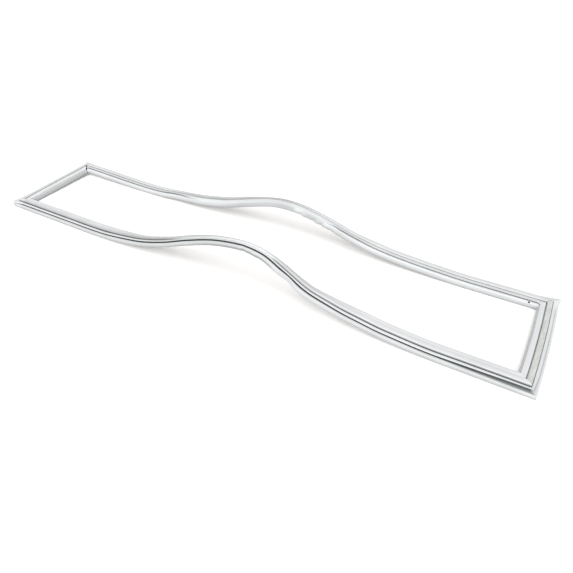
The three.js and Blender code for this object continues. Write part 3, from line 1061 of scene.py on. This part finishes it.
def magnet_material(finish, grain):
    """Bonded ferrite: matt, near black and faintly brown."""
    material, shader = new_material("bonded_ferrite_strip")
    tree = material.node_tree
    place = tree.nodes.new("ShaderNodeTexCoord")
    height, mottle = place_grain(tree, grain, place.outputs["Object"], MAGNET_GRAIN)
    paler = tuple(channel * MAGNET_SPECKLE for channel in finish.magnet_colour)
    speckle = ranged(tree, height, SPECKLE_READ, SPECKLE_GIVEN)
    colour = mix_colour(tree, speckle, finish.magnet_colour, paler)
    tree.links.new(colour, shader.inputs["Base Color"])
    rough = ranged(tree, mottle, GLOSS_READ, MAGNET_ROUGHNESS)
    tree.links.new(rough, shader.inputs["Roughness"])
    tree.links.new(add_bump(tree, height, MAGNET_BUMP), shader.inputs["Normal"])
    return material


def floor_material(studio):
    """A plain pale floor that the camera sees as white, with the gasket's shadow on it."""
    material, shader = new_material("studio_floor")
    tree = material.node_tree
    shader.inputs["Base Color"].default_value = (*studio.floor_colour, 1.0)
    shader.inputs["Roughness"].default_value = FLOOR_ROUGHNESS
    shader.inputs["Specular IOR Level"].default_value = 0.0
    paper = tree.nodes.new("ShaderNodeBsdfDiffuse")
    paper.inputs["Color"].default_value = PAPER_COLOUR
    glow = tree.nodes.new("ShaderNodeEmission")
    glow.inputs["Color"].default_value = WHITE
    glow.inputs["Strength"].default_value = studio.floor_glow
    added = tree.nodes.new("ShaderNodeAddShader")
    path = tree.nodes.new("ShaderNodeLightPath")
    seen = tree.nodes.new("ShaderNodeMath")
    seen.operation = "MAXIMUM"
    chosen = tree.nodes.new("ShaderNodeMixShader")
    output = next(node for node in tree.nodes if node.type == "OUTPUT_MATERIAL")
    links = tree.links
    links.new(paper.outputs["BSDF"], added.inputs[0])
    links.new(glow.outputs["Emission"], added.inputs[1])
    links.new(path.outputs["Is Camera Ray"], seen.inputs[0])
    links.new(path.outputs["Is Glossy Ray"], seen.inputs[1])
    links.new(seen.outputs["Value"], chosen.inputs["Fac"])
    links.new(shader.outputs["BSDF"], chosen.inputs[1])
    links.new(added.outputs["Shader"], chosen.inputs[2])
    links.new(chosen.outputs["Shader"], output.inputs["Surface"])
    return material


def soft_sun(studio):
    """One wide, even light from above and a little to the front."""
    deselect_all()
    bpy.ops.object.light_add(type="SUN", location=LAMP_PLACE)
    lamp = bpy.context.object
    lamp.name = "soft_key"
    lamp.data.energy = studio.key_strength
    lamp.data.angle = studio.key_spread
    lamp.rotation_euler = (studio.key_lean, 0, studio.key_turn)


def studio_world(studio):
    """Even light all round, which the camera sees as white."""
    world = bpy.data.worlds.new("studio_world")
    world.use_nodes = True
    tree = world.node_tree
    tree.nodes.clear()
    path = tree.nodes.new("ShaderNodeLightPath")
    strength = tree.nodes.new("ShaderNodeMix")
    lit, seen = MIX_FLOATS
    strength.inputs[lit].default_value = studio.world_level
    strength.inputs[seen].default_value = 1.0
    background = tree.nodes.new("ShaderNodeBackground")
    background.inputs["Color"].default_value = WHITE
    output = tree.nodes.new("ShaderNodeOutputWorld")
    tree.links.new(path.outputs["Is Camera Ray"], strength.inputs[MIX_FACTOR])
    tree.links.new(strength.outputs[MIXED_FLOAT], background.inputs["Strength"])
    tree.links.new(background.outputs["Background"], output.inputs["Surface"])
    bpy.context.scene.world = world


def photo_camera(studio):
    """The camera at the photograph's place and angle."""
    deselect_all()
    bpy.ops.object.camera_add()
    camera = bpy.context.object
    camera.name = "photo_camera"
    turn = Matrix.Rotation(studio.camera_yaw, 4, "Z")
    tip = Matrix.Rotation(math.pi / 2 - studio.camera_pitch, 4, "X")
    lean = Matrix.Rotation(-studio.camera_roll, 4, "Z")
    camera.matrix_world = Matrix.Translation(CAMERA_PLACE) @ turn @ tip @ lean
    camera.data.sensor_width = SENSOR_WIDTH
    camera.data.lens = studio.focal_pixels / PHOTO_SIDE * camera.data.sensor_width
    bpy.context.scene.camera = camera


class GASKET_OT_skin(bpy.types.Operator):
    """Builds the welded vinyl skin of the frame"""

    bl_idname = "gasket.skin"
    bl_label = "Gasket skin"

    def execute(self, context):
        sizes = context.scene.gasket_sizes
        finish = context.scene.gasket_finish
        around = len(section_outline(sizes, {}))
        deselect_all()
        bpy.ops.mesh.primitive_cylinder_add(
            vertices=around, radius=TUBE_RADIUS, depth=TUBE_LENGTH, end_fill_type="NOTHING")
        skin = context.object
        skin.name = "gasket_skin"
        turn_first_point(skin)
        subdivide_lengthwise(skin, FIRST_CUTS)
        subdivide_lengthwise(skin, SECOND_CUTS)
        lay_strip(sizes, skin, around)
        close_skin(skin)
        grain = bpy.data.node_groups.get("extruded_grain") or shared_grain()
        skin.data.materials.append(vinyl_material(finish, grain))
        skin.data.materials.append(hollow_material(finish))
        edge = sizes.frame_width / 2
        buckle(skin, NEAR_BUCKLES, NEAR_CREST_PAST_MIDDLE * MM, -edge)
        buckle(skin, FAR_BUCKLES, FAR_CREST_PAST_MIDDLE * MM, edge - sizes.section_width)
        cut_away(skin, vent_cutter(sizes))
        for slot in WELD_SLOTS:
            cut_away(skin, weld_slot_cutter(sizes, *slot))
        make_active(skin)
        bpy.ops.object.shade_smooth_by_angle(angle=SMOOTH_ANGLE)
        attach(skin, "root")
        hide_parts("gasket_profile")
        return {"FINISHED"}


class GASKET_OT_magnets(bpy.types.Operator):
    """Finishes the four magnet strips in their pockets"""

    bl_idname = "gasket.magnets"
    bl_label = "Magnet strips"

    def execute(self, context):
        finish = context.scene.gasket_finish
        grain = bpy.data.node_groups.get("extruded_grain") or shared_grain()
        material = magnet_material(finish, grain)
        for side in ("near", "far", "left", "right"):
            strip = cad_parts[f"magnet_strip_{side}"]
            strip.data.materials.clear()
            strip.data.materials.append(material)
        return {"FINISHED"}


class GASKET_OT_studio(bpy.types.Operator):
    """Sets the floor, the lamp, the world and the camera"""

    bl_idname = "gasket.studio"
    bl_label = "Studio"

    def execute(self, context):
        studio = context.scene.gasket_studio
        deselect_all()
        bpy.ops.mesh.primitive_plane_add(size=FLOOR_SIZE, location=(0, 0, -FLOOR_DROP * MM))
        floor = context.object
        floor.name = "studio_floor"
        apply_place(floor)
        floor.data.materials.append(floor_material(studio))
        soft_sun(studio)
        studio_world(studio)
        photo_camera(studio)
        context.scene.view_settings.view_transform = "Standard"
        return {"FINISHED"}


class GASKET_PT_panel(bpy.types.Panel):
    """Lists the steps that build the gasket"""

    bl_idname = "GASKET_PT_panel"
    bl_label = "Door gasket"
    bl_space_type = "VIEW_3D"
    bl_region_type = "UI"
    bl_category = "Gasket"

    def draw(self, context):
        layout = self.layout
        for group in ("gasket_sizes", "gasket_finish", "gasket_studio"):
            settings = getattr(context.scene, group)
            box = layout.box()
            for name in settings.__annotations__:
                box.prop(settings, name)
        for operator in (GASKET_OT_skin, GASKET_OT_magnets, GASKET_OT_studio):
            layout.operator(operator.bl_idname)


CLASSES = (
    GasketSizes,
    GasketFinish,
    StudioSettings,
    GASKET_OT_skin,
    GASKET_OT_magnets,
    GASKET_OT_studio,
    GASKET_PT_panel,
)


def register():
    """Registers the classes and hangs the settings on the scene."""
    for each in CLASSES:
        bpy.utils.register_class(each)
    bpy.types.Scene.gasket_sizes = bpy.props.PointerProperty(type=GasketSizes)
    bpy.types.Scene.gasket_finish = bpy.props.PointerProperty(type=GasketFinish)
    bpy.types.Scene.gasket_studio = bpy.props.PointerProperty(type=StudioSettings)


def unregister():
    """Takes the settings and the classes away again."""
    del bpy.types.Scene.gasket_studio
    del bpy.types.Scene.gasket_finish
    del bpy.types.Scene.gasket_sizes
    for each in reversed(CLASSES):
        bpy.utils.unregister_class(each)


def main():
    """Builds every piece and the studio."""
    register()
    bpy.ops.gasket.skin()
    bpy.ops.gasket.magnets()
    bpy.ops.gasket.studio()


if __name__ == "__main__":
    main()
